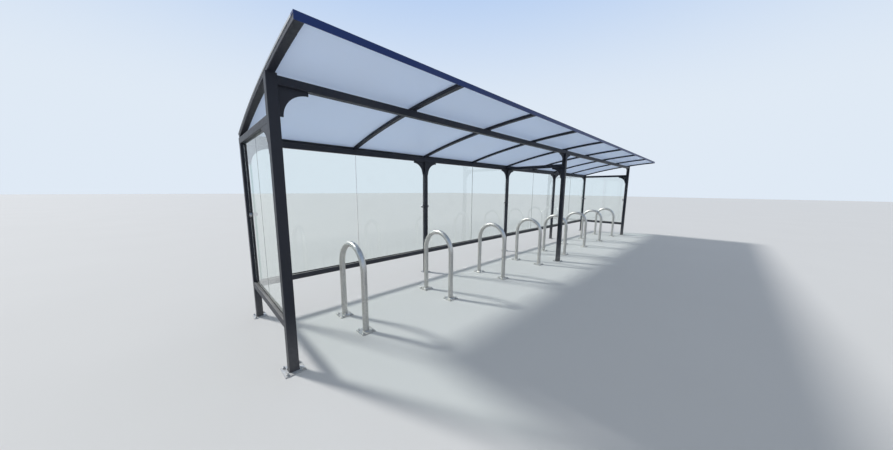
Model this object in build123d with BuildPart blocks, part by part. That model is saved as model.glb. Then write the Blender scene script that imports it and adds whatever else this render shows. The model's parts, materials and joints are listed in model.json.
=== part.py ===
from build123d import *
from math import asin, cos, degrees, hypot, sin, sqrt
import os

# A bike shelter: a curved lean-to roof on steel posts, glazed at the back and the
# ends, over a row of parking hoops. X runs along the shelter, the open side faces
# -Y and the ground is Z = 0. The origin is on the ground, in the middle of the
# outline. Bay 1, post 1 and hoop 1 are at the -X end.

# Bays
FRONT_BAYS = 2  # between the front posts
REAR_BAYS_PER_FRONT_BAY = 2  # between the rear posts
PANELS_PER_REAR_BAY = 2  # one rafter stands between two panels
PANEL_PITCH = 1200  # from one rafter to the next
POST_ROW_GAP = 1260  # from the front posts' centres to the rear posts' centres
FRONT_HEIGHT = 2160  # top of the front beam
REAR_HEIGHT = 1910  # top of the rear beam and of the cross ties

# Tubes
POST_TUBE = 70  # front posts
POST_WALL = 3
BEAM_TUBE = 60  # front beam
BEAM_WALL = 3
REAR_POST_TUBE = 60
REAR_POST_WALL = 3
RAIL_WIDTH = 60  # rear beam, cross ties and bottom rails
RAIL_HEIGHT = 60
RAIL_WALL = 3
RAFTER_WIDTH = 50
RAFTER_DEPTH = 30
RAFTER_WALL = 2.5
CORNER_PER_WALL = 2  # a cold-formed tube's outer corner radius over its wall
END_CAP = 3  # plate that closes a tube's free end

# Roof
ROOF_RADIUS = 10000  # of the rafters' underside
SADDLE_LIFT = 2  # under a rafter, at the thin edge of its saddle
ROOF_FRONT_REACH = 650  # from the front posts' centres to the fascia's face
ROOF_REAR_REACH = 40  # from the rear posts' centres to the panels' lower edge
RAFTER_REAR_REACH = 30
PANEL_THICKNESS = 10
PANEL_JOINT = 20  # gap between two panels, over a rafter's centre
STRIP_WIDTH = 50
STRIP_THICKNESS = 3
FASCIA_THICKNESS = 3
FASCIA_LAP = 40  # over the panels' front edge

# Knee brackets
BRACKET_LEG = 200
BRACKET_END = 28  # width of the bracket at the end of each leg
BRACKET_THICKNESS = 8

# Bottom rails and glass
RAIL_TOP = 400
GLASS_THICKNESS = 8
GLASS_CLEARANCE = 4  # between the back's knee brackets and the glass behind them
GLASS_EDGE_GAP = 15  # between a post and the pane beside it
GLASS_JOINT = 10  # between the two panes of a bay
GLASS_TOP_GAP = 5
CLAMP_LEVEL = 1130
CLAMP_LENGTH = 45
CLAMP_HEIGHT = 45
CLAMP_THICKNESS = 26

# Base plates
PLATE_THICKNESS = 8
FRONT_PLATE = 150
FRONT_HOLE = 14
FRONT_HOLE_PITCH = 110
REAR_PLATE = 120
REAR_HOLE = 12
REAR_HOLE_PITCH = 90

# Parking hoops
HOOP_TUBE = 60.3
HOOP_WALL = 2.6
HOOP_HEIGHT = 880
HOOP_LEG_PITCH = 490
HOOP_FRONT_LEG = 150  # from the front posts' centres to the hoop's front leg
HOOP_GAP = 695  # from a rafter's centre to the hoop in the bay beside it
HOOP_PLATE = 140
HOOP_PLATE_THICKNESS = 8
HOOP_HOLE = 13
HOOP_HOLE_PITCH = 100

# Places along the shelter
REAR_STEP = PANELS_PER_REAR_BAY
FRONT_STEP = REAR_BAYS_PER_FRONT_BAY * REAR_STEP
PANEL_COUNT = FRONT_BAYS * FRONT_STEP
rafter_xs = [(n - PANEL_COUNT / 2) * PANEL_PITCH for n in range(PANEL_COUNT + 1)]
front_post_xs = rafter_xs[::FRONT_STEP]
rear_post_xs = rafter_xs[::REAR_STEP]
front_bays = list(zip(front_post_xs, front_post_xs[1:]))
rear_bays = list(zip(rear_post_xs, rear_post_xs[1:]))
end_frames = [(front_post_xs[0], 1), (front_post_xs[-1], -1)]  # and the way inward

# Places across the shelter
REAR_REACH = max(REAR_PLATE / 2, ROOF_REAR_REACH)
FRONT_Y = (ROOF_FRONT_REACH - REAR_REACH - POST_ROW_GAP) / 2
REAR_Y = FRONT_Y + POST_ROW_GAP
FASCIA_FACE_Y = FRONT_Y - ROOF_FRONT_REACH
FASCIA_BACK_Y = FASCIA_FACE_Y + FASCIA_THICKNESS
STRIP_FRONT_Y = FASCIA_BACK_Y + FASCIA_LAP
RAFTER_REAR_Y = REAR_Y + RAFTER_REAR_REACH
PANEL_REAR_Y = REAR_Y + ROOF_REAR_REACH

# Levels
FRONT_BEAM_UNDER = FRONT_HEIGHT - BEAM_TUBE
REAR_BEAM_UNDER = REAR_HEIGHT - RAIL_HEIGHT

# Centre of the roof's curve, from the thin edges of the front and rear saddles
FRONT_SEAT = (FRONT_Y + BEAM_TUBE / 2, FRONT_HEIGHT + SADDLE_LIFT)
REAR_SEAT = (REAR_Y + RAIL_WIDTH / 2, REAR_HEIGHT + SADDLE_LIFT)
RUN = REAR_SEAT[0] - FRONT_SEAT[0]
FALL = FRONT_SEAT[1] - REAR_SEAT[1]
CHORD = hypot(RUN, FALL)
CHORD_TO_CENTRE = sqrt(ROOF_RADIUS**2 - CHORD**2 / 4)
ROOF_CENTRE_Y = (FRONT_SEAT[0] + REAR_SEAT[0]) / 2 - CHORD_TO_CENTRE * FALL / CHORD
ROOF_CENTRE_Z = (FRONT_SEAT[1] + REAR_SEAT[1]) / 2 - CHORD_TO_CENTRE * RUN / CHORD


def roof_z(y, lift=0):
    """Height of the roof's curve, lift above the rafters' underside."""
    return ROOF_CENTRE_Z + sqrt((ROOF_RADIUS + lift) ** 2 - (y - ROOF_CENTRE_Y) ** 2)


def roof_arc(y_from, y_to, lift):
    """An arc of the roof's curve, drawn in a plane that looks along the shelter."""
    y_middle = (y_from + y_to) / 2
    return ThreePointArc(*[(y, roof_z(y, lift)) for y in (y_from, y_middle, y_to)])


def roof_band(x, y_from, y_to, lift, thickness):
    """A slice of a roof layer, with upright ends."""
    with BuildSketch(Plane.YZ.offset(x)) as band:
        with BuildLine():
            lower = roof_arc(y_from, y_to, lift)
            upper = roof_arc(y_from, y_to, lift + thickness)
            Line(lower @ 0, upper @ 0)
            Line(lower @ 1, upper @ 1)
        make_face()
    return band.sketch


def saddle(x, y, depth, base):
    """The side of a wedge that fills the gap between a level tube and a rafter."""
    y_from, y_to = y - depth / 2, y + depth / 2
    with BuildSketch(Plane.YZ.offset(x)) as wedge:
        with BuildLine():
            top = roof_arc(y_from, y_to, 0)
            Polyline(top @ 0, (y_from, base), (y_to, base), top @ 1)
        make_face()
    return wedge.sketch


def tube_section(width, height, wall):
    """A rounded rectangular tube's section."""
    RectangleRounded(width, height, CORNER_PER_WALL * wall)
    RectangleRounded(width - 2 * wall, height - 2 * wall, wall, mode=Mode.SUBTRACT)


def corner_plane(point, reach):
    """An upright plane at a corner, with its own X along the reach and its Y up."""
    return Plane(origin=point, x_dir=reach, z_dir=Vector(reach).cross(Vector(0, 0, 1)))


os.makedirs("parts", exist_ok=True)

# Front posts, cut to the rafters' slope at the top
for number, x in enumerate(front_post_xs, 1):
    with BuildPart() as front_post:
        with BuildSketch(Plane((x, FRONT_Y, PLATE_THICKNESS))):
            tube_section(POST_TUBE, POST_TUBE, POST_WALL)
        extrude(amount=FRONT_HEIGHT + POST_TUBE - PLATE_THICKNESS)
        above_roof = roof_band(x, FRONT_Y - POST_TUBE, FRONT_Y + POST_TUBE, 0, 2 * POST_TUBE)
        extrude(above_roof, amount=POST_TUBE, both=True, mode=Mode.SUBTRACT)
    front_post.part.label = f"front_post_{number}"
    export_step(front_post.part, f"parts/front_post_{number}.step")

# Rear posts, closed by the cross ties and the rear beam on top of them
for number, x in enumerate(rear_post_xs, 1):
    with BuildPart() as rear_post:
        with BuildSketch(Plane((x, REAR_Y, PLATE_THICKNESS))):
            tube_section(REAR_POST_TUBE, REAR_POST_TUBE, REAR_POST_WALL)
        extrude(amount=REAR_BEAM_UNDER - PLATE_THICKNESS)
    rear_post.part.label = f"rear_post_{number}"
    export_step(rear_post.part, f"parts/rear_post_{number}.step")

# Base plates under both rows of posts
with BuildPart() as base_plates:
    with BuildSketch():
        with Locations(*[(x, FRONT_Y) for x in front_post_xs]):
            Rectangle(FRONT_PLATE, FRONT_PLATE)
            with GridLocations(FRONT_HOLE_PITCH, FRONT_HOLE_PITCH, 2, 2):
                Circle(FRONT_HOLE / 2, mode=Mode.SUBTRACT)
        with Locations(*[(x, REAR_Y) for x in rear_post_xs]):
            Rectangle(REAR_PLATE, REAR_PLATE)
            with GridLocations(REAR_HOLE_PITCH, REAR_HOLE_PITCH, 2, 2):
                Circle(REAR_HOLE / 2, mode=Mode.SUBTRACT)
    extrude(amount=PLATE_THICKNESS)
base_plates.part.label = "base_plates"
export_step(base_plates.part, "parts/base_plates.step")

# Front beam, one length between each two front posts, with a saddle for each rafter
for number, (x_from, x_to) in enumerate(front_bays, 1):
    beam_start = x_from + POST_TUBE / 2
    with BuildPart() as front_beam:
        with BuildSketch(Plane.YZ.offset(beam_start)):
            with Locations((FRONT_Y, FRONT_HEIGHT - BEAM_TUBE / 2)):
                tube_section(BEAM_TUBE, BEAM_TUBE, BEAM_WALL)
        extrude(amount=x_to - x_from - POST_TUBE)
        saddle_depth = BEAM_TUBE - 2 * CORNER_PER_WALL * BEAM_WALL
        for x in [x for x in rafter_xs if x_from < x < x_to]:
            wedge = saddle(x, FRONT_Y, saddle_depth, FRONT_HEIGHT)
            extrude(wedge, amount=RAFTER_WIDTH / 2, both=True)
    front_beam.part.label = f"front_beam_{number}"
    export_step(front_beam.part, f"parts/front_beam_{number}.step")

# Rear beam, one length between each two cross ties
for number, (x_from, x_to) in enumerate(front_bays, 1):
    beam_start = x_from + RAIL_WIDTH / 2
    with BuildPart() as rear_beam:
        with BuildSketch(Plane.YZ.offset(beam_start)):
            with Locations((REAR_Y, REAR_HEIGHT - RAIL_HEIGHT / 2)):
                tube_section(RAIL_WIDTH, RAIL_HEIGHT, RAIL_WALL)
        extrude(amount=x_to - x_from - RAIL_WIDTH)
        saddle_depth = RAIL_WIDTH - 2 * CORNER_PER_WALL * RAIL_WALL
        for x in [x for x in rafter_xs if x_from < x < x_to]:
            wedge = saddle(x, REAR_Y, saddle_depth, REAR_HEIGHT)
            extrude(wedge, amount=RAFTER_WIDTH / 2, both=True)
    rear_beam.part.label = f"rear_beam_{number}"
    export_step(rear_beam.part, f"parts/rear_beam_{number}.step")

# Cross ties, from each front post's back to the rear beam's outer face
TIE_START_Y = FRONT_Y + POST_TUBE / 2
TIE_LENGTH = REAR_Y + RAIL_WIDTH / 2 - TIE_START_Y
with BuildPart() as cross_ties:
    for x in front_post_xs:
        tie_centre = (x, TIE_START_Y, REAR_HEIGHT - RAIL_HEIGHT / 2)
        tie_plane = Plane(tie_centre, x_dir=(1, 0, 0), z_dir=(0, 1, 0))
        with BuildSketch(tie_plane):
            tube_section(RAIL_WIDTH, RAIL_HEIGHT, RAIL_WALL)
        extrude(amount=TIE_LENGTH)
        with BuildSketch(tie_plane.offset(TIE_LENGTH - END_CAP)):
            RectangleRounded(RAIL_WIDTH, RAIL_HEIGHT, CORNER_PER_WALL * RAIL_WALL)
        extrude(amount=END_CAP)
        saddle_size = RAIL_WIDTH - 2 * CORNER_PER_WALL * RAIL_WALL
        wedge = saddle(x, REAR_Y, saddle_size, REAR_HEIGHT)
        extrude(wedge, amount=saddle_size / 2, both=True)
cross_ties.part.label = "cross_ties"
export_step(cross_ties.part, "parts/cross_ties.step")

# Rafters, bent to the roof's curve, cut upright behind the fascia, and cut square and
# closed at the lower end
RAFTER_START = asin((FASCIA_FACE_Y - RAFTER_DEPTH - ROOF_CENTRE_Y) / ROOF_RADIUS)
RAFTER_END = asin((RAFTER_REAR_Y - ROOF_CENTRE_Y) / ROOF_RADIUS)
RAFTER_ARC = degrees(RAFTER_END - RAFTER_START)
CAP_ARC = degrees(END_CAP / ROOF_RADIUS)
for number, x in enumerate(rafter_xs, 1):
    curve_centre = (x, ROOF_CENTRE_Y, ROOF_CENTRE_Z)
    curve_axis = Axis(curve_centre, (-1, 0, 0))
    start_normal = (0, -cos(RAFTER_START), sin(RAFTER_START))
    start_plane = Plane(curve_centre, x_dir=(1, 0, 0), z_dir=start_normal)
    with BuildPart() as rafter:
        with BuildSketch(start_plane):
            with Locations((0, ROOF_RADIUS + RAFTER_DEPTH / 2)):
                RectangleRounded(RAFTER_WIDTH, RAFTER_DEPTH, CORNER_PER_WALL * RAFTER_WALL)
        revolve(axis=curve_axis, revolution_arc=RAFTER_ARC)
        with BuildSketch(start_plane):
            with Locations((0, ROOF_RADIUS + RAFTER_DEPTH / 2)):
                Rectangle(RAFTER_WIDTH - 2 * RAFTER_WALL, RAFTER_DEPTH - 2 * RAFTER_WALL)
        revolve(axis=curve_axis, revolution_arc=RAFTER_ARC - CAP_ARC, mode=Mode.SUBTRACT)
        split(bisect_by=Plane.XZ.offset(-FASCIA_BACK_Y), keep=Keep.BOTTOM)
    rafter.part.label = f"rafter_{number}"
    export_step(rafter.part, f"parts/rafter_{number}.step")

# Roof panels, one to a bay, the end ones running out over the end rafters
for number, (x_from, x_to) in enumerate(zip(rafter_xs, rafter_xs[1:]), 1):
    is_first = number == 1
    is_last = number == PANEL_COUNT
    panel_start = x_from - RAFTER_WIDTH / 2 if is_first else x_from + PANEL_JOINT / 2
    panel_end = x_to + RAFTER_WIDTH / 2 if is_last else x_to - PANEL_JOINT / 2
    with BuildPart() as roof_panel:
        sheet = roof_band(panel_start, FASCIA_BACK_Y, PANEL_REAR_Y, RAFTER_DEPTH, PANEL_THICKNESS)
        extrude(sheet, amount=panel_end - panel_start)
    roof_panel.part.label = f"roof_panel_{number}"
    export_step(roof_panel.part, f"parts/roof_panel_{number}.step")

# Cover strips over the joints, and an angle trim over each end of the roof
PANEL_TOP = RAFTER_DEPTH + PANEL_THICKNESS
ROOF_END = rafter_xs[-1] + RAFTER_WIDTH / 2 + STRIP_THICKNESS
with BuildPart() as cover_strips:
    for x in rafter_xs[1:-1]:
        strip = roof_band(x, STRIP_FRONT_Y, PANEL_REAR_Y, PANEL_TOP, STRIP_THICKNESS)
        extrude(strip, amount=STRIP_WIDTH / 2, both=True)
    trim_lip = roof_band(ROOF_END, STRIP_FRONT_Y, PANEL_REAR_Y, PANEL_TOP, STRIP_THICKNESS)
    trim_side_height = PANEL_THICKNESS + STRIP_THICKNESS
    trim_side = roof_band(ROOF_END, STRIP_FRONT_Y, PANEL_REAR_Y, RAFTER_DEPTH, trim_side_height)
    extrude(trim_lip, amount=-STRIP_WIDTH)
    extrude(trim_side, amount=-STRIP_THICKNESS)
    mirror(about=Plane.YZ)
cover_strips.part.label = "cover_strips"
export_step(cover_strips.part, "parts/cover_strips.step")

# Fascia, one folded sheet: an upright face over the front ends of the rafters and
# panels, a lap on top of the panels, and a return over the panels' edge at each end
with BuildPart() as fascia:
    with BuildSketch(Plane.YZ.offset(-ROOF_END)):
        with BuildLine():
            lap_top = roof_arc(FASCIA_FACE_Y, STRIP_FRONT_Y, PANEL_TOP + FASCIA_THICKNESS)
            lap_under = roof_arc(FASCIA_BACK_Y, STRIP_FRONT_Y, PANEL_TOP)
            Line(lap_top @ 1, lap_under @ 1)
            face_foot = (FASCIA_FACE_Y, roof_z(FASCIA_BACK_Y))
            back_foot = (FASCIA_BACK_Y, roof_z(FASCIA_BACK_Y))
            Polyline(lap_top @ 0, face_foot, back_foot, lap_under @ 0)
        make_face()
    extrude(amount=2 * ROOF_END)
    end_return = roof_band(ROOF_END, FASCIA_BACK_Y, STRIP_FRONT_Y, RAFTER_DEPTH, PANEL_THICKNESS)
    extrude(end_return, amount=-STRIP_THICKNESS)
    mirror(about=Plane.YZ)
fascia.part.label = "fascia"
export_step(fascia.part, "parts/fascia.step")

# Knee brackets: under the front beam, under the rear beam, and under each cross tie
# where it meets the front post, flush with the outer side of the end ties
bracket_planes = []
for x_from, x_to in front_bays:
    left_corner = (x_from + POST_TUBE / 2, FRONT_Y, FRONT_BEAM_UNDER)
    right_corner = (x_to - POST_TUBE / 2, FRONT_Y, FRONT_BEAM_UNDER)
    bracket_planes.append(corner_plane(left_corner, (1, 0, 0)))
    bracket_planes.append(corner_plane(right_corner, (-1, 0, 0)))
for x_from, x_to in rear_bays:
    left_corner = (x_from + REAR_POST_TUBE / 2, REAR_Y, REAR_BEAM_UNDER)
    right_corner = (x_to - REAR_POST_TUBE / 2, REAR_Y, REAR_BEAM_UNDER)
    bracket_planes.append(corner_plane(left_corner, (1, 0, 0)))
    bracket_planes.append(corner_plane(right_corner, (-1, 0, 0)))
tie_bracket_xs = front_post_xs[1:-1]
for x, inward in end_frames:
    tie_bracket_xs.append(x - inward * (RAIL_WIDTH - BRACKET_THICKNESS) / 2)
for x in tie_bracket_xs:
    bracket_planes.append(corner_plane((x, TIE_START_Y, REAR_BEAM_UNDER), (0, 1, 0)))
with BuildPart() as knee_brackets:
    with BuildSketch(*bracket_planes):
        with BuildLine():
            hollow_arc = CenterArc((BRACKET_LEG, -BRACKET_LEG), BRACKET_LEG - BRACKET_END, 90, 90)
            Polyline(hollow_arc @ 0, (BRACKET_LEG, 0), (0, 0), (0, -BRACKET_LEG), hollow_arc @ 1)
        make_face()
    extrude(amount=BRACKET_THICKNESS / 2, both=True)
knee_brackets.part.label = "knee_brackets"
export_step(knee_brackets.part, "parts/knee_brackets.step")

# Bottom rails, between the rear posts and across both ends
END_RAIL_LENGTH = POST_ROW_GAP - POST_TUBE / 2 - REAR_POST_TUBE / 2
RAIL_CENTRE_Z = RAIL_TOP - RAIL_HEIGHT / 2
with BuildPart() as bottom_rails:
    for x_from, x_to in rear_bays:
        with BuildSketch(Plane.YZ.offset(x_from + REAR_POST_TUBE / 2)):
            with Locations((REAR_Y, RAIL_CENTRE_Z)):
                tube_section(RAIL_WIDTH, RAIL_HEIGHT, RAIL_WALL)
        extrude(amount=x_to - x_from - REAR_POST_TUBE)
    for x, inward in end_frames:
        rail_start = (x, TIE_START_Y, RAIL_CENTRE_Z)
        with BuildSketch(Plane(rail_start, x_dir=(1, 0, 0), z_dir=(0, 1, 0))):
            tube_section(RAIL_WIDTH, RAIL_HEIGHT, RAIL_WALL)
        extrude(amount=END_RAIL_LENGTH)
bottom_rails.part.label = "bottom_rails"
export_step(bottom_rails.part, "parts/bottom_rails.step")

# Glass panes standing on the rails, two to a bay along the back, just behind the knee
# brackets, and two across the middle of each end's rail
GLASS_Y = REAR_Y + BRACKET_THICKNESS / 2 + GLASS_CLEARANCE + GLASS_THICKNESS / 2
PANE_HEIGHT = REAR_BEAM_UNDER - GLASS_TOP_GAP - RAIL_TOP
PANE_CENTRE_Z = RAIL_TOP + PANE_HEIGHT / 2
with BuildPart() as glass_panes:
    for x_from, x_to in rear_bays:
        glazed_length = x_to - x_from - REAR_POST_TUBE - 2 * GLASS_EDGE_GAP
        pane_width = (glazed_length - GLASS_JOINT) / 2
        pane_step = pane_width + GLASS_JOINT
        with BuildSketch(Plane.XZ.offset(-GLASS_Y)):
            with Locations(((x_from + x_to) / 2, PANE_CENTRE_Z)):
                with GridLocations(pane_step, 0, 2, 1):
                    Rectangle(pane_width, PANE_HEIGHT)
        extrude(amount=GLASS_THICKNESS / 2, both=True)
    end_pane_width = (END_RAIL_LENGTH - 2 * GLASS_EDGE_GAP - GLASS_JOINT) / 2
    end_pane_step = end_pane_width + GLASS_JOINT
    for x, inward in end_frames:
        with BuildSketch(Plane.YZ.offset(x)):
            with Locations((TIE_START_Y + END_RAIL_LENGTH / 2, PANE_CENTRE_Z)):
                with GridLocations(end_pane_step, 0, 2, 1):
                    Rectangle(end_pane_width, PANE_HEIGHT)
        extrude(amount=GLASS_THICKNESS / 2, both=True)
glass_panes.part.label = "glass_panes"
export_step(glass_panes.part, "parts/glass_panes.step")

# Glass clamps, halfway up each pane's edge beside a post, rounded at the free end
clamp_planes = []
for x_from, x_to in rear_bays:
    left_face = (x_from + REAR_POST_TUBE / 2, GLASS_Y, CLAMP_LEVEL)
    right_face = (x_to - REAR_POST_TUBE / 2, GLASS_Y, CLAMP_LEVEL)
    clamp_planes.append(corner_plane(left_face, (1, 0, 0)))
    clamp_planes.append(corner_plane(right_face, (-1, 0, 0)))
for x, inward in end_frames:
    front_face = (x, TIE_START_Y, CLAMP_LEVEL)
    rear_face = (x, TIE_START_Y + END_RAIL_LENGTH, CLAMP_LEVEL)
    clamp_planes.append(corner_plane(front_face, (0, 1, 0)))
    clamp_planes.append(corner_plane(rear_face, (0, -1, 0)))
with BuildPart() as glass_clamps:
    with BuildSketch(*clamp_planes):
        clamp_nose = CLAMP_LENGTH - CLAMP_HEIGHT / 2
        with Locations((clamp_nose / 2, 0)):
            Rectangle(clamp_nose, CLAMP_HEIGHT)
        with Locations((clamp_nose, 0)):
            Circle(CLAMP_HEIGHT / 2)
    extrude(amount=CLAMP_THICKNESS / 2, both=True)
    with BuildSketch(*clamp_planes):
        with Locations(((GLASS_EDGE_GAP + 2 * CLAMP_LENGTH) / 2, 0)):
            Rectangle(2 * CLAMP_LENGTH - GLASS_EDGE_GAP, 2 * CLAMP_HEIGHT)
    extrude(amount=GLASS_THICKNESS / 2, both=True, mode=Mode.SUBTRACT)
glass_clamps.part.label = "glass_clamps"
export_step(glass_clamps.part, "parts/glass_clamps.step")

# Parking hoops, each a bent tube welded to two foot plates
HOOP_BEND = HOOP_LEG_PITCH / 2
HOOP_SPRING_Z = HOOP_HEIGHT - HOOP_TUBE / 2 - HOOP_BEND
HOOP_LEG_YS = (FRONT_Y + HOOP_FRONT_LEG, FRONT_Y + HOOP_FRONT_LEG + HOOP_LEG_PITCH)
HOOP_Y = sum(HOOP_LEG_YS) / 2
for number, x in enumerate([x + HOOP_GAP for x in rafter_xs[:-1]], 1):
    with BuildPart() as hoop:
        with BuildLine(Plane.YZ.offset(x)) as bend:
            crown = CenterArc((HOOP_Y, HOOP_SPRING_Z), HOOP_BEND, 180, -180)
            Line((HOOP_LEG_YS[0], HOOP_PLATE_THICKNESS), crown @ 0)
            Line(crown @ 1, (HOOP_LEG_YS[1], HOOP_PLATE_THICKNESS))
        with BuildSketch(Plane((x, HOOP_LEG_YS[0], HOOP_PLATE_THICKNESS))):
            Circle(HOOP_TUBE / 2)
            Circle(HOOP_TUBE / 2 - HOOP_WALL, mode=Mode.SUBTRACT)
        sweep(path=bend.line)
        with BuildSketch():
            with Locations(*[(x, y) for y in HOOP_LEG_YS]):
                Rectangle(HOOP_PLATE, HOOP_PLATE)
                Circle(HOOP_TUBE / 2 - HOOP_WALL, mode=Mode.SUBTRACT)
                with GridLocations(HOOP_HOLE_PITCH, HOOP_HOLE_PITCH, 2, 2):
                    Circle(HOOP_HOLE / 2, mode=Mode.SUBTRACT)
        extrude(amount=HOOP_PLATE_THICKNESS)
    hoop.part.label = f"hoop_{number}"
    export_step(hoop.part, f"parts/hoop_{number}.step")
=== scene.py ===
import bmesh
import bpy
import json
from math import atan2, cos, pi, radians, sin
from mathutils import Matrix, Vector


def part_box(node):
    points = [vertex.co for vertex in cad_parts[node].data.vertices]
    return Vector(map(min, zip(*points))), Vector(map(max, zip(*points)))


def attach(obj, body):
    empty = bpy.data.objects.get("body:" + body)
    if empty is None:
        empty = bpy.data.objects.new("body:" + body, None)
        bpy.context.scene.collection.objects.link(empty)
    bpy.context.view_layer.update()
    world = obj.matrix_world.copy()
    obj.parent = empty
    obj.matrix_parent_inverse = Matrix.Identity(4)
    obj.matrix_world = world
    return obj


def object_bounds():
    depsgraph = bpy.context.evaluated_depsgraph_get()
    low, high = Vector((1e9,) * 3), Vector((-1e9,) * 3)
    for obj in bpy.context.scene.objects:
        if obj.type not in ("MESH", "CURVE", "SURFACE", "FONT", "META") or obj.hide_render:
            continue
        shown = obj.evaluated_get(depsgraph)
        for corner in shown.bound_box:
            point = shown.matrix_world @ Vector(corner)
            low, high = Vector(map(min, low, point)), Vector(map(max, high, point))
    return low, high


# A bike shelter with a bent opal roof, glass walls and parking hoops. X runs along the
# shelter, the open side faces -Y, and the ground is Z = 0. Lengths are in metres and
# angles in radians.

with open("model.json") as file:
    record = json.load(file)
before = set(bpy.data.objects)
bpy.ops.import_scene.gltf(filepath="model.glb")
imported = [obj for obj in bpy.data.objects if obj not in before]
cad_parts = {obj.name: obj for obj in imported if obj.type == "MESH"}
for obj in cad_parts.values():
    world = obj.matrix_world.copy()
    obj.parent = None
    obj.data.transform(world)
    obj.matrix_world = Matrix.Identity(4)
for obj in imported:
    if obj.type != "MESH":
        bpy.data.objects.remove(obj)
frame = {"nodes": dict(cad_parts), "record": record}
cad_low, cad_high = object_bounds()
nodes = frame["nodes"]
bpy.context.scene.view_settings.view_transform = "Standard"


# Camera

IMAGE_WIDTH = 893  # pixels
FOCAL_LENGTH = 270.15  # pixels
CENTRE_DROP = 4.23  # pixels from the picture's middle down to the lens's axis
SENSOR_WIDTH = 36
CAMERA_PLACE = (-5.303, -2.552, 1.409)
CAMERA_YAW = 0.7966  # radians, from +X towards +Y
CAMERA_PITCH = -0.1458
CAMERA_ROLL = 0.0086


def add_camera():
    """Stands at eye level in front of the near end and looks along the row."""
    clear_selection()
    bpy.ops.object.camera_add(location=CAMERA_PLACE)
    camera = bpy.context.object
    level = cos(CAMERA_PITCH)
    forward = Vector((level * cos(CAMERA_YAW), level * sin(CAMERA_YAW), sin(CAMERA_PITCH)))
    level_right = forward.cross(UP).normalized()
    level_up = level_right.cross(forward)
    right = cos(CAMERA_ROLL) * level_right + sin(CAMERA_ROLL) * level_up
    turn = Matrix((right, right.cross(forward), -forward)).transposed()
    camera.rotation_euler = turn.to_euler()
    camera.data.sensor_width = SENSOR_WIDTH
    camera.data.lens = FOCAL_LENGTH / IMAGE_WIDTH * SENSOR_WIDTH
    camera.data.shift_y = CENTRE_DROP / IMAGE_WIDTH
    bpy.context.scene.camera = camera


# Node trees

MIX_FACTOR, MIX_LOW, MIX_HIGH, MIX_RESULT = 0, 6, 7, 2  # a Mix node's sockets for colours


class Field:
    """A value in a node tree, with arithmetic that adds Math nodes."""

    def __init__(self, nodes, socket):
        self.nodes = nodes
        self.socket = socket

    def maths(self, operation, *values):
        return self.nodes.node("ShaderNodeMath", {"operation": operation}, dict(enumerate(values)))

    def __add__(self, other):
        return self.maths("ADD", self, other)

    def __radd__(self, other):
        return self.maths("ADD", other, self)

    def __sub__(self, other):
        return self.maths("SUBTRACT", self, other)

    def __rsub__(self, other):
        return self.maths("SUBTRACT", other, self)

    def __mul__(self, other):
        return self.maths("MULTIPLY", self, other)

    def __rmul__(self, other):
        return self.maths("MULTIPLY", other, self)

    def __truediv__(self, other):
        return self.maths("DIVIDE", self, other)

    def __abs__(self):
        return self.maths("ABSOLUTE", self)

    def over(self, limit):
        """1 where the value is above a limit, and 0 elsewhere."""
        return self.maths("GREATER_THAN", self, limit)

    def fraction(self):
        return self.maths("FRACT", self)

    def larger(self, other):
        return self.maths("MAXIMUM", self, other)

    def ease(self, low, high):
        """0 below low and 1 above high, or the other way round where low is the larger."""
        settings = {"interpolation_type": "SMOOTHSTEP", "clamp": True}
        values = {"Value": self, "From Min": low, "From Max": high}
        return self.nodes.node("ShaderNodeMapRange", settings, values)


class Nodes:
    """An emptied node tree."""

    def __init__(self, owner):
        owner.use_nodes = True
        self.tree = owner.node_tree
        self.tree.nodes.clear()

    def node(self, kind, settings, values, output=0):
        """Adds a node: its settings first, then its sockets' values and links."""
        made = self.tree.nodes.new(kind)
        for key, setting in settings.items():
            setattr(made, key, setting)
        for key, value in values.items():
            if isinstance(value, Field):
                self.tree.links.new(value.socket, made.inputs[key])
            else:
                made.inputs[key].default_value = value
        return Field(self, made.outputs[output])

    def axis(self, vector, name):
        """The part of a vector along X, Y or Z."""
        return self.node("ShaderNodeSeparateXYZ", {}, {0: vector}, name)

    def ray(self, name):
        """What the light path says of a ray."""
        return self.node("ShaderNodeLightPath", {}, {}, name)

    def blend(self, amount, low, high):
        """The colour low where amount is 0 and high where it is 1."""
        values = {MIX_FACTOR: amount, MIX_LOW: low, MIX_HIGH: high}
        return self.node("ShaderNodeMix", {"data_type": "RGBA"}, values, MIX_RESULT)

    def mix(self, amount, low, high):
        """The shader low where amount is 0 and high where it is 1."""
        return self.node("ShaderNodeMixShader", {}, {0: amount, 1: low, 2: high})

    def end(self, kind, shader):
        output = self.tree.nodes.new(kind)
        self.tree.links.new(shader.socket, output.inputs["Surface"])


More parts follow.
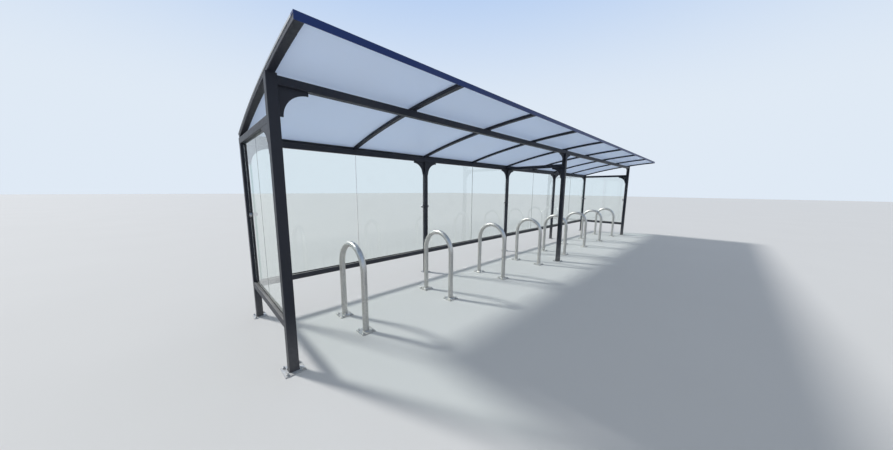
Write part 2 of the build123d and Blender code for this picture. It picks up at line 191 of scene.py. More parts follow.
class Finish(Nodes):
    """A material built from nodes."""

    def __init__(self, name):
        self.material = bpy.data.materials.new(name)
        super().__init__(self.material)
        self.place = self.node("ShaderNodeTexCoord", {}, {}, "Object")
        self.x = self.axis(self.place, "X")
        self.z = self.axis(self.place, "Z")
        normal = self.node("ShaderNodeNewGeometry", {}, {}, "Normal")
        self.facing_x = self.axis(normal, "X")
        self.facing_y = self.axis(normal, "Y")
        self.facing_z = self.axis(normal, "Z")

    def noise(self, scale, detail, stretch=(1, 1, 1)):
        """Soft noise about 1 / scale across, longer along an axis with a small stretch."""
        place = self.place
        if stretch != (1, 1, 1):
            place = self.node("ShaderNodeMapping", {}, {"Vector": place, "Scale": stretch})
        values = {"Vector": place, "Scale": scale, "Detail": detail}
        return self.node("ShaderNodeTexNoise", {}, values, "Fac")

    def cells(self, scale):
        """A random shade for each cell about 1 / scale across."""
        values = {"Vector": self.place, "Scale": scale}
        shade = self.node("ShaderNodeTexVoronoi", {}, values, "Color")
        return self.node("ShaderNodeSeparateColor", {}, {0: shade}, "Red")

    def bump(self, height, distance, strength):
        values = {"Height": height, "Distance": distance, "Strength": strength}
        return self.node("ShaderNodeBump", {}, values)

    def principled(self, **values):
        named = {key.replace("_", " "): value for key, value in values.items()}
        return self.node("ShaderNodeBsdfPrincipled", {}, named)

    def surface(self, shader):
        """Ends the material with a shader, and gives the material."""
        self.end("ShaderNodeOutputMaterial", shader)
        return self.material


def rgb(red, green, blue):
    return (red, green, blue, 1.0)


# Finishes

# A pale grey of dust. On the paint it also stands for a painted sheen on faces turned up and for
# painted light bounced from the floor onto the feet.
DUST_AND_PAINTED_LIGHT = rgb(0.42, 0.41, 0.40)
TOP_DUST_AND_SHEEN = 0.55  # the most of the pale dust and painted sheen that covers a face turned up
FOOT_DUST_AND_BOUNCE_LIGHT = 0.22
DUST_ANYWHERE = 0.02
FOOT_PALENESS_TOP = 0.55  # how far up the foot's dust and painted bounce light reach
OXIDE = rgb(0.50, 0.50, 0.48)
DRIPS_TOP = 0.16  # how far up the drip marks on zinc reach
GRIME = rgb(0.20, 0.19, 0.17)

RIB_PITCH = 0.011
# SHEET_PALE, SHEET_RIB and SHEET_GLOW are the white opal dimmed and blued with painted shade and
# painted blue skylight.
SHEET_PALE = rgb(0.76, 0.82, 0.91)
SHEET_RIB = rgb(0.62, 0.69, 0.79)
SHEET_AGED = rgb(0.77, 0.80, 0.84)
SHEET_STAIN = rgb(0.36, 0.35, 0.28)
SHEET_GLOW = rgb(0.76, 0.81, 0.88)

GLASS_BODY = rgb(0.90, 0.945, 0.925)
GLASS_EDGE = rgb(0.10, 0.33, 0.26)
GLASS_DUST = rgb(0.50, 0.49, 0.45)
GLASS_SHADOW = rgb(0.92, 0.95, 0.94)  # what a pane lets through to the floor
GLASS_FILM_TOP, GLASS_FILM_FULL = 0.85, 0.40  # heights between which the film thickens
END_GLASS = 4.74  # beyond it along X, a face turned along X shows clear and others green


def powder_coat(name, colour, faded, roughness):
    """Baked powder paint: fine orange peel, pale dust with a painted sheen on what faces up, and a
    foot paled by dust and by painted light bounced from the floor.
    """
    paint = Finish(name)
    cloud = paint.noise(2.3, detail=4)
    fine = paint.noise(38, detail=4)
    peel = paint.noise(420, detail=2)
    # Faces turned up are paled by dust and by a painted sheen.
    dust_and_sheen_on_top = paint.facing_z.ease(0.55, 0.95) * (0.5 + 0.5 * cloud.ease(0.35, 0.7))
    # bloom pales the foot: dust, and painted light bounced from the floor.
    bloom = paint.z.ease(FOOT_PALENESS_TOP, 0.0) * (0.7 + 0.3 * fine.ease(0.25, 0.8))
    film = cloud.ease(0.40, 0.75)
    # dust holds the painted sheen and the painted bounce light as well as the dust.
    dust = (dust_and_sheen_on_top * TOP_DUST_AND_SHEEN).larger(bloom * FOOT_DUST_AND_BOUNCE_LIGHT).larger(film * DUST_ANYWHERE)
    coat = paint.blend(paint.noise(0.9, detail=2).ease(0.3, 0.8), colour, faded)
    skin = paint.principled(
        Base_Color=paint.blend(dust, coat, DUST_AND_PAINTED_LIGHT),
        Roughness=roughness + 0.10 * fine.ease(0.3, 0.8) + 0.30 * dust,
        Normal=paint.bump(peel + 0.35 * fine, distance=0.00022, strength=0.5),
        Specular_IOR_Level=0.28,
    )
    return paint.surface(skin)


def galvanised(name, light, dark, roughness, metal):
    """Hot-dip zinc: faint spangle, duller clouds of oxide and drip marks at the foot."""
    zinc = Finish(name)
    spangle = zinc.cells(85)
    streak = zinc.noise(26, detail=3, stretch=(1, 1, 0.12))
    oxide = zinc.noise(5.5, detail=4).ease(0.42, 0.72)
    foot = zinc.z.ease(DRIPS_TOP, 0.0) * zinc.noise(40, detail=4).ease(0.38, 0.66)
    fresh = zinc.blend(0.55 * spangle + 0.45 * streak.ease(0.25, 0.75), dark, light)
    dulled = zinc.blend(oxide * 0.55, fresh, OXIDE)
    skin = zinc.principled(
        Base_Color=zinc.blend(foot * 0.4, dulled, DUST_AND_PAINTED_LIGHT),
        Roughness=roughness + 0.12 * spangle + 0.16 * oxide + 0.2 * foot,
        Metallic=metal - 0.45 * oxide - 0.5 * foot,
        Normal=zinc.bump(zinc.noise(120, detail=3) + 0.3 * spangle, distance=0.0003, strength=0.35),
    )
    return zinc.surface(skin)


def drawn_metal(name, light, dark, roughness, stretch, metal):
    """Satin metal with fine lines along its length, and grime in patches."""
    satin = Finish(name)
    lines = satin.noise(900, detail=3, stretch=stretch)
    cloud = satin.noise(7, detail=3)
    grime = satin.noise(16, detail=5).ease(0.55, 0.85)
    shade = satin.blend(lines.ease(0.3, 0.7) * 0.6 + cloud * 0.4, dark, light)
    skin = satin.principled(
        Base_Color=satin.blend(grime * 0.35, shade, GRIME),
        Roughness=roughness + 0.12 * lines + 0.25 * grime,
        Metallic=metal,
        Normal=satin.bump(lines, distance=0.0001, strength=0.4),
    )
    return satin.surface(skin)


def rubber(name, dark, bloomed):
    """Matt black rubber with a faint grey bloom."""
    seal = Finish(name)
    bloom = seal.noise(30, detail=4).ease(0.4, 0.8)
    skin = seal.principled(
        Base_Color=seal.blend(bloom * 0.5, dark, bloomed),
        Roughness=0.62 + 0.2 * bloom,
        Normal=seal.bump(seal.noise(500, detail=2), distance=0.0002, strength=0.4),
    )
    return seal.surface(skin)


def opal_sheet(name):
    """Twin-wall opal sheet: light comes through it, and its ribs show as faint lines."""
    sheet = Finish(name)
    rib = abs((sheet.x / RIB_PITCH).fraction() - 0.5).ease(0.34, 0.47)
    cloud = sheet.noise(1.7, detail=4)
    spots = sheet.noise(24, detail=5, stretch=(1, 0.5, 1))
    top = sheet.facing_z.ease(0.2, 0.7)
    stain = top * (0.34 * cloud.ease(0.4, 0.75) + 0.34 * spots.ease(0.52, 0.82))
    # The pale and rib tones carry painted shade and painted blue skylight.
    pale = sheet.blend(rib * 0.30, SHEET_PALE, SHEET_RIB)
    aged = sheet.blend(cloud.ease(0.35, 0.8) * 0.5, pale, SHEET_AGED)
    skin = sheet.principled(
        Base_Color=sheet.blend(stain, aged, SHEET_STAIN),
        Roughness=0.30 + 0.25 * stain + 0.1 * cloud,
        Normal=sheet.bump(rib, distance=0.0002, strength=0.35),
    )
    # The glow's blue-grey is painted skylight.
    glow = sheet.node("ShaderNodeBsdfTranslucent", {}, {"Color": SHEET_GLOW})
    return sheet.surface(sheet.mix(0.54 - 0.14 * rib, skin, glow))


def clear_glass(name):
    """Toughened glass, green at its edges, with a film of dust low down and drip marks."""
    glass = Finish(name)
    at_end = abs(glass.x).over(END_GLASS)
    face_on = at_end * abs(glass.facing_x) + (1 - at_end) * abs(glass.facing_y)
    drips = glass.noise(45, detail=3, stretch=(1, 1, 0.06)).ease(0.5, 0.8)
    cloud = glass.noise(3.1, detail=4).ease(0.50, 0.85)
    low = glass.z.ease(GLASS_FILM_TOP, GLASS_FILM_FULL)
    film = 0.004 + 0.018 * cloud + (0.015 + 0.05 * drips) * low
    pane = glass.principled(
        Base_Color=glass.blend(face_on.ease(0.7, 0.3), GLASS_BODY, GLASS_EDGE),
        Roughness=0.01 + 0.06 * drips * low,
        IOR=1.5,
        Transmission_Weight=1.0,
    )
    powder = glass.principled(Base_Color=GLASS_DUST, Roughness=0.9)
    for_light = glass.ray("Is Shadow Ray").larger(glass.ray("Is Diffuse Ray"))
    let_through = glass.node("ShaderNodeBsdfTransparent", {}, {"Color": GLASS_SHADOW})
    return glass.surface(glass.mix(for_light, glass.mix(film, pane, powder), let_through))


ALONG_Y = (1, 0.04, 1)
ALONG_Z = (1, 1, 0.05)

# The frame's anthracite is darker and bluer than its paint: painted shade and painted blue
# skylight.
frame_paint = powder_coat("frame_paint", rgb(0.015, 0.018, 0.028), rgb(0.021, 0.024, 0.036), 0.42)
fascia_paint = powder_coat("fascia_paint", rgb(0.006, 0.025, 0.130), rgb(0.009, 0.032, 0.150), 0.38)
hoop_zinc = galvanised("hoop_zinc", rgb(0.62, 0.61, 0.59), rgb(0.44, 0.435, 0.42), 0.28, 0.95)
plate_zinc = galvanised("plate_zinc", rgb(0.60, 0.61, 0.62), rgb(0.46, 0.47, 0.48), 0.42, 0.85)
bolt_zinc = galvanised("bolt_zinc", rgb(0.74, 0.74, 0.72), rgb(0.55, 0.55, 0.54), 0.26, 1.0)
clamp_steel = drawn_metal(
    "clamp_steel", rgb(0.46, 0.46, 0.47), rgb(0.34, 0.34, 0.35), 0.30, ALONG_Z, metal=1.0
)
strip_metal = drawn_metal(
    "strip_metal", rgb(0.40, 0.41, 0.42), rgb(0.30, 0.31, 0.32), 0.48, ALONG_Y, metal=0.6
)
seal_rubber = rubber("seal_rubber", rgb(0.012, 0.012, 0.013), rgb(0.05, 0.05, 0.052))
roof_sheet = opal_sheet("roof_sheet")
pane_glass = clear_glass("pane_glass")

NODE_FINISHES = {
    "front_post": frame_paint,
    "rear_post": frame_paint,
    "front_beam": frame_paint,
    "rear_beam": frame_paint,
    "rafter": frame_paint,
    "cross_ties": frame_paint,
    "knee_brackets": frame_paint,
    "bottom_rails": frame_paint,
    "fascia": fascia_paint,
    "hoop": hoop_zinc,
    "base_plates": plate_zinc,
    "cover_strips": strip_metal,
    "glass_clamps": clamp_steel,
    "glass_panes": pane_glass,
    "roof_panel": roof_sheet,
}


def numbered(name):
    """The CAD nodes called name, or name_1, name_2 and so on."""
    return [nodes[key] for key in sorted(nodes) if key == name or key.startswith(name + "_")]


for name, finish in NODE_FINISHES.items():
    for node in numbered(name):
        for slot in node.material_slots:
            slot.material = finish


# Modelling helpers

UP = Vector((0, 0, 1))
SMOOTH_ANGLE = radians(35)  # faces that meet at less are shaded as one
STEPS_PER_METRE = 20000  # corners that round to the same step are one corner


def clear_selection():
    bpy.ops.object.select_all(action="DESELECT")


def make_active(piece):
    clear_selection()
    piece.select_set(True)
    bpy.context.view_layer.objects.active = piece


def edit(piece):
    """Opens a piece in edit mode with nothing selected."""
    make_active(piece)
    bpy.ops.object.mode_set(mode="EDIT")
    bpy.ops.mesh.select_all(action="DESELECT")


def leave_edit():
    bpy.ops.object.mode_set(mode="OBJECT")


def select_faces(piece, wanted):
    """Selects the faces of an open piece that wanted(face) is true of."""
    mesh = bmesh.from_edit_mesh(piece.data)
    bpy.ops.mesh.select_mode(type="FACE")
    for face in mesh.faces:
        face.select = wanted(face)
    mesh.select_flush_mode()
    bmesh.update_edit_mesh(piece.data)


def select_edges(piece, wanted):
    """Selects the edges of an open piece that wanted(middle, edge) is true of."""
    mesh = bmesh.from_edit_mesh(piece.data)
    bpy.ops.mesh.select_all(action="DESELECT")
    bpy.ops.mesh.select_mode(type="EDGE")
    for edge in mesh.edges:
        edge.select = wanted((edge.verts[0].co + edge.verts[1].co) / 2, edge)
    mesh.select_flush_mode()
    bmesh.update_edit_mesh(piece.data)


def runs_along(at):
    """True of an edge along X, by its middle, on a strip 1 m long about the origin."""
    return abs(at.x) < 0.01


def modify(piece, kind, **settings):
    """Adds a modifier and applies it."""
    make_active(piece)
    modifier = piece.modifiers.new(kind.lower(), kind)
    for key, setting in settings.items():
        setattr(modifier, key, setting)
    bpy.ops.object.modifier_apply(modifier=modifier.name)


def soften(piece, width, segments):
    """Bevels the sharp edges of a piece."""
    modify(piece, "BEVEL", width=width, segments=segments, limit_method="ANGLE")


def set_down(piece):
    """Puts the object's own place and turn into its mesh."""
    make_active(piece)
    bpy.ops.object.transform_apply(location=True, rotation=True, scale=True)


def add_drum(sides, radius, height, middle_z):
    """An upright cylinder on the Z axis, to shape further."""
    clear_selection()
    bpy.ops.mesh.primitive_cylinder_add(
        vertices=sides, radius=radius, depth=height, location=(0, 0, middle_z)
    )
    drum = bpy.context.object
    set_down(drum)
    return drum


def add_block(size, place):
    """A block about a place, to shape further."""
    clear_selection()
    bpy.ops.mesh.primitive_cube_add(size=1, location=place)
    block = bpy.context.object
    block.scale = size
    set_down(block)
    return block


def join(parts):
    clear_selection()
    for part in parts:
        part.select_set(True)
    bpy.context.view_layer.objects.active = parts[0]
    bpy.ops.object.join()
    return bpy.context.object


def copies(model, places):
    """One piece made of copies of a model, each with its own mesh, in place of the model."""
    made = []
    for place in places:
        copy = model.copy()
        copy.data = model.data.copy()
        copy.data.transform(place)
        bpy.context.collection.objects.link(copy)
        made.append(copy)
    bpy.data.objects.remove(model)
    return join(made)


def fit_out(piece, name, finish):
    """Names a finished piece, paints it and fixes it to the shelter."""
    piece.name = name
    piece.data.name = name
    piece.data.materials.clear()
    piece.data.materials.append(finish)
    make_active(piece)
    bpy.ops.object.shade_smooth_by_angle(angle=SMOOTH_ANGLE)
    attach(piece, "root")


def solids(name):
    """The lowest and highest corners of each solid in a CAD node."""
    mesh = nodes[name].data
    corners = [
        tuple(round(part * STEPS_PER_METRE) for part in vertex.co) for vertex in mesh.vertices
    ]
    above = {corner: corner for corner in corners}

    def top(corner):
        while above[corner] != corner:
            above[corner] = above[above[corner]]
            corner = above[corner]
        return corner

    for face in mesh.polygons:
        first, *others = [corners[index] for index in face.vertices]
        for other in others:
            above[top(first)] = top(other)
    groups = {}
    for corner, vertex in zip(corners, mesh.vertices):
        groups.setdefault(top(corner), []).append(vertex.co)
    boxes = []
    for points in groups.values():
        low = Vector([min(point[axis] for point in points) for axis in range(3)])
        high = Vector([max(point[axis] for point in points) for axis in range(3)])
        boxes.append((low, high))
    return sorted(boxes, key=lambda box: [round(part, 3) for part in box[0]])


def middle(box):
    return (box[0] + box[1]) / 2


def thin_axis(box):
    """The axis along which a box is thinnest: 0 for X, 1 for Y."""
    size = box[1] - box[0]
    return min(range(3), key=lambda axis: size[axis])


def side_of(box, axis, side):
    """The middle of a box's face on one side along an axis, and which way it faces."""
    point = middle(box)
    point[axis] = box[1][axis] if side > 0 else box[0][axis]
    facing = Vector((0, 0, 0))
    facing[axis] = side
    return point, facing


def seat(name, x, y):
    """Where a plumb line comes down on a CAD node, and which way that surface faces."""
    high_above = Vector((x, y, cad_high.z + 1))
    found, point, facing, _ = nodes[name].ray_cast(high_above, -UP)
    assert found, (name, x, y)
    return point, facing


def underside(name, x, y):
    """The height at which a plumb line meets a CAD node from below."""
    found, point, _, _ = nodes[name].ray_cast(Vector((x, y, 0)), UP)
    assert found, (name, x, y)
    return point.z


def stand(point, facing=UP, spin=0.0):
    """The place of a model whose own Z stands on a surface."""
    turn = facing.to_track_quat("Z", "Y").to_matrix().to_4x4()
    return Matrix.Translation(point) @ turn @ Matrix.Rotation(spin, 4, "Z")


def lengthened(length):
    """Stretches a strip 1 m long to a length, along its own X."""
    return Matrix.Scale(length, 4, Vector((1, 0, 0)))


# Posts, hoops and rafters

PLATE_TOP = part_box("base_plates")[1].z
front_posts = [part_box(node.name) for node in numbered("front_post")]
rear_posts = [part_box(node.name) for node in numbered("rear_post")]
hoops = [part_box(node.name) for node in numbered("hoop")]
rafters = [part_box(node.name) for node in numbered("rafter")]
FRONT_TUBE = front_posts[0][1].x - front_posts[0][0].x
REAR_TUBE = rear_posts[0][1].x - rear_posts[0][0].x
HOOP_TUBE = 0.0603
HOOP_PLATE = 0.14


def foot(post):
    return Vector((middle(post).x, middle(post).y, PLATE_TOP))


front_feet = [foot(post) for post in front_posts]
rear_feet = [foot(post) for post in rear_posts]
hoop_feet = [
    Vector((middle(hoop).x, y, PLATE_TOP))
    for hoop in hoops
    for y in (hoop[0].y + HOOP_PLATE / 2, hoop[1].y - HOOP_PLATE / 2)
]


# Anchors in the base plates and hoop plates

hole_spacing = {
    mount["name"]: mount["dims"]["spacing_x_mm"] / 1000
    for mount in frame["record"]["mounts"]
    if mount["kind"] == "bolt_pattern"
}
SMALL_ANCHOR = {
    "bolt": 0.010,
    "nut_width": 0.016,
    "nut_height": 0.008,
    "washer_width": 0.020,
    "washer_thickness": 0.002,
}
LARGE_ANCHOR = {
    "bolt": 0.012,
    "nut_width": 0.018,
    "nut_height": 0.010,
    "washer_width": 0.024,
    "washer_thickness": 0.0025,
}
THREAD_TURNS = 4  # that stand out of a nut
THREAD_PER_BOLT = 1 / 7  # one turn's height
THREAD_ROOT = 0.86  # a turn's width at its top
GOLDEN_TURN = 2.39996  # radians, which turns each nut and screw differently from the last


def make_anchor(bolt, nut_width, nut_height, washer_width, washer_thickness):
    """A hex nut on a washer, with the threaded end standing out of it."""
    washer = add_drum(
        sides=24, radius=washer_width / 2, height=washer_thickness, middle_z=washer_thickness / 2
    )
    soften(washer, width=washer_thickness / 5, segments=2)

    nut_middle = washer_thickness + nut_height / 2
    nut = add_drum(
        sides=6, radius=nut_width / 2 / cos(pi / 6), height=nut_height, middle_z=nut_middle
    )
    edit(nut)
    select_faces(nut, lambda face: abs(face.normal.z) > 0.9)
    bpy.ops.mesh.inset(thickness=nut_width * 0.07, depth=nut_height * 0.06)
    leave_edit()
    soften(nut, width=nut_width * 0.02, segments=1)

    thread = add_drum(
        sides=12,
        radius=bolt / 2,
        height=bolt * THREAD_PER_BOLT,
        middle_z=nut_middle + nut_height / 2,
    )
    edit(thread)
    select_faces(thread, lambda face: face.normal.z > 0.9)
    bpy.ops.transform.resize(value=(THREAD_ROOT, THREAD_ROOT, 1))
    leave_edit()
    modify(
        thread,
        "ARRAY",
        count=THREAD_TURNS,
        use_relative_offset=True,
        relative_offset_displace=(0, 0, 1),
    )
    return join([washer, nut, thread])


def bolt_places(foot, spacing):
    """The four corners of a bolt pattern round a foot."""
    places = []
    for number, (side, end) in enumerate(((-1, -1), (1, -1), (1, 1), (-1, 1))):
        point = foot + Vector((side * spacing / 2, end * spacing / 2, 0))
        places.append(stand(point, spin=GOLDEN_TURN * (number + 7 * foot.x + 3 * foot.y)))
    return places


def add_anchors(name, feet, spacing, sizes):
    places = [place for foot in feet for place in bolt_places(foot, spacing)]
    fit_out(copies(make_anchor(**sizes), places), name, bolt_zinc)


add_anchors("front_anchors", front_feet, hole_spacing["front_post_1_bolts"], LARGE_ANCHOR)
add_anchors("rear_anchors", rear_feet, hole_spacing["rear_post_1_bolts"], SMALL_ANCHOR)
add_anchors("hoop_anchors", hoop_feet, hole_spacing["hoop_1_front_foot_bolts"], LARGE_ANCHOR)


# Welds round the feet

WELD = 0.005
WELD_RIPPLE = 0.0022
BEAD_STEPS = ((0.45, 0.45), (0.4, 0.55))  # inwards and upwards, as shares of the weld
weld_ripple = bpy.data.textures.new("weld_ripple", "CLOUDS")
weld_ripple.noise_scale = 0.006


def finish_collar(collar):
    """Raises a ring of edges into a closed, sloping and rippled bead."""
    edit(collar)
    bpy.ops.mesh.select_mode(type="EDGE")
    bpy.ops.mesh.select_all(action="SELECT")
    for inwards, upwards in BEAD_STEPS:
        low = max(vertex.co.z for vertex in bmesh.from_edit_mesh(collar.data).verts)
        rise = upwards * WELD
        bpy.ops.mesh.extrude_region_move(TRANSFORM_OT_translate={"value": (0, 0, rise)})
        mesh = bmesh.from_edit_mesh(collar.data)
        ring = [vertex.co.x for vertex in mesh.verts if vertex.co.z > low + rise / 2]
        share = 1 - 2 * inwards * WELD / (max(ring) - min(ring))
        bpy.ops.transform.resize(value=(share, share, 1))
    select_edges(collar, lambda at, edge: edge.is_boundary)
    bpy.ops.mesh.bridge_edge_loops()
    bpy.ops.mesh.select_all(action="SELECT")
    bpy.ops.mesh.normals_make_consistent(inside=False)
    leave_edit()
    modify(
        collar,
        "DISPLACE",
        texture=weld_ripple,
        strength=WELD_RIPPLE,
        mid_level=0.5,
        direction="NORMAL",
    )
    return collar


def square_collar(width):
    """A weld bead round the foot of a square tube."""
    clear_selection()
    bpy.ops.mesh.primitive_plane_add(size=width + 2 * WELD, location=(0, 0, 0))
    collar = bpy.context.object
    edit(collar)
    bpy.ops.mesh.select_all(action="SELECT")
    bpy.ops.mesh.bevel(offset=0.1 * width + WELD, segments=5, affect="VERTICES")
    bpy.ops.mesh.delete(type="ONLY_FACE")
    select_edges(collar, lambda at, edge: edge.calc_length() > width / 2)
    bpy.ops.mesh.subdivide(number_cuts=20)
    leave_edit()
    return finish_collar(collar)


def round_collar(width):
    """A weld bead round the foot of a round tube."""
    clear_selection()
    bpy.ops.mesh.primitive_circle_add(vertices=72, radius=width / 2 + WELD, location=(0, 0, 0))
    return finish_collar(bpy.context.object)


def add_welds(name, collar, feet, finish):
    fit_out(copies(collar, [stand(foot) for foot in feet]), name, finish)


add_welds("front_welds", square_collar(FRONT_TUBE), front_feet, frame_paint)
add_welds("rear_welds", square_collar(REAR_TUBE), rear_feet, frame_paint)
add_welds("hoop_welds", round_collar(HOOP_TUBE), hoop_feet, hoop_zinc)


# Screws through the cover strips and the fascia's lap

SCREW_STEP = 0.30
LAP_SCREW_OFFSET = 0.015  # to each side of a rafter's middle


def make_roof_screw():
    """A hex screw with a broad flange."""
    flange = add_drum(sides=20, radius=0.008, height=0.002, middle_z=0.0018)
    edit(flange)
    select_faces(flange, lambda face: face.normal.z > 0.9)
    bpy.ops.mesh.inset(thickness=0.0022, depth=0.0008)
    leave_edit()
    head = add_drum(sides=6, radius=0.0046, height=0.0045, middle_z=0.0052)
    soften(head, width=0.0004, segments=2)
    return join([flange, head])


def make_roof_washer():
    """The rubber washer under a roof screw."""
    washer = add_drum(sides=20, radius=0.0088, height=0.0018, middle_z=0.0006)
    soften(washer, width=0.0006, segments=2)
    return washer


strips_low, strips_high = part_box("cover_strips")
run = strips_high.y - strips_low.y
screw_count = round(run / SCREW_STEP)
screw_seats = []
for rafter in rafters:
    for number in range(screw_count):
        y = strips_low.y + (number + 0.5) * run / screw_count
        screw_seats.append(seat("cover_strips", middle(rafter).x, y))
lap_y = middle(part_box("fascia")).y
for rafter in rafters:
    for offset in (-LAP_SCREW_OFFSET, LAP_SCREW_OFFSET):
        screw_seats.append(seat("fascia", middle(rafter).x + offset, lap_y))
screw_places = [
    stand(point, facing, spin=GOLDEN_TURN * number)
    for number, (point, facing) in enumerate(screw_seats)
]
fit_out(copies(make_roof_screw(), screw_places), "roof_screws", bolt_zinc)
fit_out(copies(make_roof_washer(), screw_places), "roof_washers", seal_rubber)


# Screws in the glass clamps


def make_clamp_screw():
    """A domed screw head with a six-sided socket."""
    head = add_drum(sides=24, radius=0.0065, height=0.0036, middle_z=0.0018)
    edit(head)
    select_edges(head, lambda at, edge: at.z > 0.003)
    bpy.ops.mesh.bevel(offset=0.0028, segments=4, profile=0.6)
    leave_edit()
    socket = add_drum(sides=6, radius=0.0026, height=0.004, middle_z=0.0036)
    modify(head, "BOOLEAN", object=socket, operation="DIFFERENCE")
    bpy.data.objects.remove(socket)
    return head


clamp_sides = [
    side_of(clamp, thin_axis(clamp), side) for clamp in solids("glass_clamps") for side in (-1, 1)
]
clamp_screws = [
    stand(point, facing, spin=GOLDEN_TURN * number)
    for number, (point, facing) in enumerate(clamp_sides)
]
fit_out(copies(make_clamp_screw(), clamp_screws), "clamp_screws", bolt_zinc)


# Rubber seals at the foot of the glass

SEAL_DEPTH = 0.006
SEAL_HEIGHT = 0.009
SEAL_SLOPE = 0.6  # the share of its depth that a seal loses towards its top
SEAL_ROUNDING = 0.0009


def make_seal():
    """A strip of rubber seal 1 m long: upright at the glass, sloping away from it."""
    seal = add_block((1, SEAL_DEPTH, SEAL_HEIGHT), (0, SEAL_DEPTH / 2, SEAL_HEIGHT / 2))
    edit(seal)
    select_edges(seal, lambda at, edge: at.y > 0.9 * SEAL_DEPTH and at.z > 0.9 * SEAL_HEIGHT)
    bpy.ops.transform.translate(value=(0, -SEAL_SLOPE * SEAL_DEPTH, 0))
    select_edges(seal, lambda at, edge: runs_along(at) and at.z > 0.1 * SEAL_HEIGHT)
    bpy.ops.mesh.bevel(offset=SEAL_ROUNDING, segments=2)
    leave_edit()
    return seal


seal_places = []
for pane in solids("glass_panes"):
    axis = thin_axis(pane)
    length = pane[1][1 - axis] - pane[0][1 - axis]
    for side in (-1, 1):
        point, away = side_of(pane, axis, side)
        point.z = pane[0].z
        seal_places.append(stand(point, spin=atan2(-away.x, away.y)) @ lengthened(length))
fit_out(copies(make_seal(), seal_places), "glass_seals", seal_rubber)


# Edge profiles that close the sheets' lower ends

PROFILE_LAP = 0.024
PROFILE_WALL = 0.0012
PROFILE_ROUNDING = 0.0004
SHEET_THICKNESS = 0.010
SHEET_END_INSET = 0.0005  # from a sheet's end back to where its slope is read


def make_edge_profile():
    """A folded channel 1 m long, open towards -Y, round the end of a sheet."""
    size = (1, PROFILE_LAP, SHEET_THICKNESS)
    profile = add_block(size, (0, -PROFILE_LAP / 2, -SHEET_THICKNESS / 2))
    edit(profile)
    select_faces(profile, lambda face: face.normal.y < -0.9 or abs(face.normal.x) > 0.9)
    bpy.ops.mesh.delete(type="FACE")
    leave_edit()
    modify(profile, "SOLIDIFY", thickness=PROFILE_WALL, offset=1)
    soften(profile, width=PROFILE_ROUNDING, segments=2)
    return profile


profile_places = []
for panel in numbered("roof_panel"):
    low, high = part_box(panel.name)
    point, facing = seat(panel.name, (low.x + high.x) / 2, high.y - SHEET_END_INSET)
    slope = Matrix.Rotation(-atan2(facing.y, facing.z), 4, "X")
    profile_places.append(Matrix.Translation(point) @ slope @ lengthened(high.x - low.x))
profiles = copies(make_edge_profile(), profile_places)
fit_out(profiles, "sheet_edge_profiles", strip_metal)


# Folded strips that close the gap between the rear beam and the sheets

CLOSURE_FOOT = 0.022
CLOSURE_RETURN = 0.012
CLOSURE_WALL = 0.0015
CLOSURE_BEND = 0.003
CLOSURE_INSET = 0.010  # from the beam's outer face
CLOSURE_TOP_GAP = 0.0003
CLOSURE_END_GAP = 0.0005
SLOPE_RUN = 0.02  # over which the sheet's slope is read


def make_closure(height, slope):
    """A strip 1 m long: a foot on the beam, an upright, and a return under the sheet."""
    clear_selection()
    bpy.ops.mesh.primitive_plane_add(size=1, location=(0, -CLOSURE_FOOT / 2, 0))
    strip = bpy.context.object
    strip.scale = (1, CLOSURE_FOOT, 1)
    set_down(strip)
    edit(strip)
    select_edges(strip, lambda at, edge: at.y > -0.001)
    bpy.ops.mesh.extrude_region_move(TRANSFORM_OT_translate={"value": (0, 0, height)})
    back = (0, -CLOSURE_RETURN, CLOSURE_RETURN * slope)
    bpy.ops.mesh.extrude_region_move(TRANSFORM_OT_translate={"value": back})
    select_edges(strip, lambda at, edge: runs_along(at) and at.y > -0.001)
    bpy.ops.mesh.bevel(offset=CLOSURE_BEND, segments=3)
    leave_edit()
    modify(strip, "SOLIDIFY", thickness=CLOSURE_WALL, offset=1)
    return strip


closure_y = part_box("rear_beam_1")[1].y - CLOSURE_INSET
first_x = (middle(rafters[0]).x + middle(rafters[1]).x) / 2
beam_top = seat("rear_beam_1", first_x, closure_y)[0].z
sheet_z = underside("roof_panel_1", first_x, closure_y)
sheet_slope = (underside("roof_panel_1", first_x, closure_y - SLOPE_RUN) - sheet_z) / SLOPE_RUN
closure_places = []
for left, right in zip(rafters, rafters[1:]):
    start, end = left[1].x + CLOSURE_END_GAP, right[0].x - CLOSURE_END_GAP
    place = stand(Vector(((start + end) / 2, closure_y, beam_top)))
    closure_places.append(place @ lengthened(end - start))
closure = make_closure(sheet_z - beam_top - CLOSURE_TOP_GAP, sheet_slope)
fit_out(copies(closure, closure_places), "rear_closures", frame_paint)


# Stage

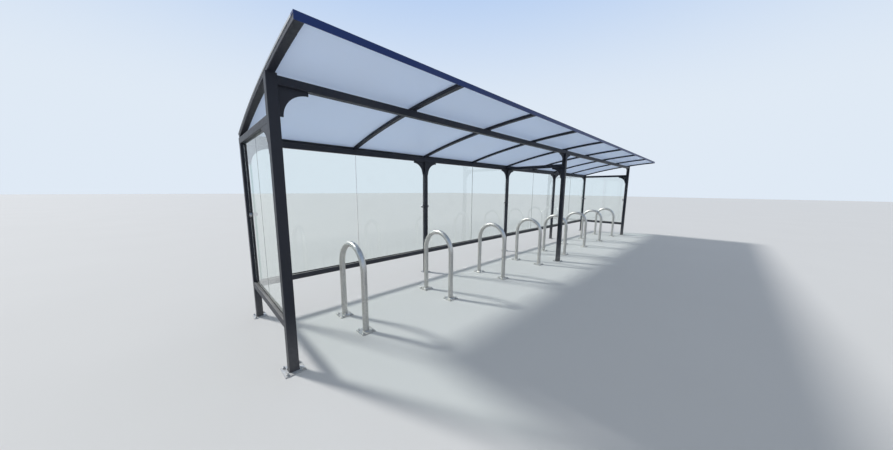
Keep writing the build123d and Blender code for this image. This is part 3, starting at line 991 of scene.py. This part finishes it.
FLOOR_SIZE = 160
FLOOR_DARK = rgb(0.65, 0.655, 0.66)
FLOOR_PALE = rgb(0.68, 0.685, 0.69)
SUN_DIRECTION = Vector((0.43, -0.90, -0.87))
SUN_STRENGTH = 2.6
SUN_SPREAD = radians(7)
SUN_COLOUR = (1.0, 0.97, 0.92)
SKY_LIGHT = rgb(0.84, 0.91, 1.0)
SKY_STRENGTH = 0.5
SKY_AT_HORIZON = rgb(0.74, 0.82, 0.915)
SKY_ABOVE = rgb(0.22, 0.44, 0.86)


def add_floor():
    clear_selection()
    bpy.ops.mesh.primitive_plane_add(size=FLOOR_SIZE, location=(0, 0, 0))
    floor = bpy.context.object
    floor.name = "floor"
    paint = Finish("floor_paint")
    shade = paint.blend(paint.noise(0.6, detail=2), FLOOR_DARK, FLOOR_PALE)
    matt = paint.principled(Base_Color=shade, Roughness=0.85)
    floor.data.materials.append(paint.surface(matt))


def add_sun():
    """A soft sun, high behind the shelter and towards its near end."""
    turn = SUN_DIRECTION.to_track_quat("-Z", "Y").to_euler()
    bpy.ops.object.light_add(type="SUN", rotation=turn)
    sun = bpy.context.object
    sun.data.energy = SUN_STRENGTH
    sun.data.angle = SUN_SPREAD
    sun.data.color = SUN_COLOUR


def add_sky():
    """An even sky to light the shelter. The camera sees one that is paler at its foot."""
    world = bpy.data.worlds.new("pale_sky")
    bpy.context.scene.world = world
    sky = Nodes(world)
    looked_at = sky.ray("Is Camera Ray").larger(sky.ray("Is Glossy Ray"))
    looked_at = looked_at.larger(sky.ray("Is Transmission Ray"))
    seen = looked_at * (1 - sky.ray("Diffuse Depth").over(0.5))
    values = {"Color": SKY_LIGHT, "Strength": SKY_STRENGTH}
    light = sky.node("ShaderNodeBackground", {}, values)
    height = sky.axis(sky.node("ShaderNodeTexCoord", {}, {}, "Generated"), "Z")
    shade = sky.blend(height.ease(0.2, 0.9), SKY_AT_HORIZON, SKY_ABOVE)
    backdrop = sky.node("ShaderNodeBackground", {}, {"Color": shade, "Strength": 1.0})
    sky.end("ShaderNodeOutputWorld", sky.mix(seen, light, backdrop))


add_camera()
add_floor()
add_sun()
add_sky()
